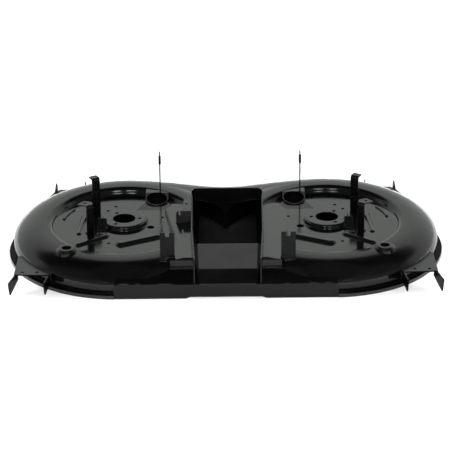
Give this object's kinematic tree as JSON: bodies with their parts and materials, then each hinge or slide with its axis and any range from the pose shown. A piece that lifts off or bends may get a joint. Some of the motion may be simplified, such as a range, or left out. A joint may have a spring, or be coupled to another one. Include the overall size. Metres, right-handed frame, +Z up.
{
  "type": "lawn mower deck",
  "caption": "Pressed-steel rear-discharge mower deck: round blade chambers side by side, raised spindle pads, central outlet box, rear apron and welded hanger, strip and wheel brackets.",
  "frame": {"origin": "middle of the footprint, on the ground under the rim, midway between the spindle axes", "axes": "+X across the deck to the right seen from behind the tractor, +Y to the front of the tractor, +Z up along the spindles"},
  "size_m": [1.059, 0.5635, 0.192],
  "materials": {
    "shell_paint": "gloss black powder coat on pressed sheet",
    "plate_paint": "gloss black powder coat on flat plate",
    "bracket_paint": "satin black powder coat on welded brackets"
  },
  "bodies": {
    "root": {"deck_shell": "shell_paint", "front_hanger_left": "bracket_paint", "front_hanger_right": "bracket_paint", "front_wheel_bracket_left": "bracket_paint", "front_wheel_bracket_right": "bracket_paint", "low_strip_left": "bracket_paint", "low_strip_right": "bracket_paint", "notch_plate_left": "bracket_paint", "notch_plate_right": "bracket_paint", "outlet_front_plate": "plate_paint", "outlet_rear_plate": "plate_paint", "outlet_side_left": "plate_paint", "outlet_side_right": "plate_paint", "pivot_bracket_left": "bracket_paint", "pivot_bracket_right": "bracket_paint", "rear_apron": "plate_paint", "rear_wheel_bracket_left": "bracket_paint", "rear_wheel_bracket_right": "bracket_paint", "step_bracket": "bracket_paint", "tall_strip_left": "bracket_paint", "tall_strip_right": "bracket_paint", "wash_port_left": "bracket_paint", "wash_port_right": "bracket_paint"}
  },
  "joints": []
}
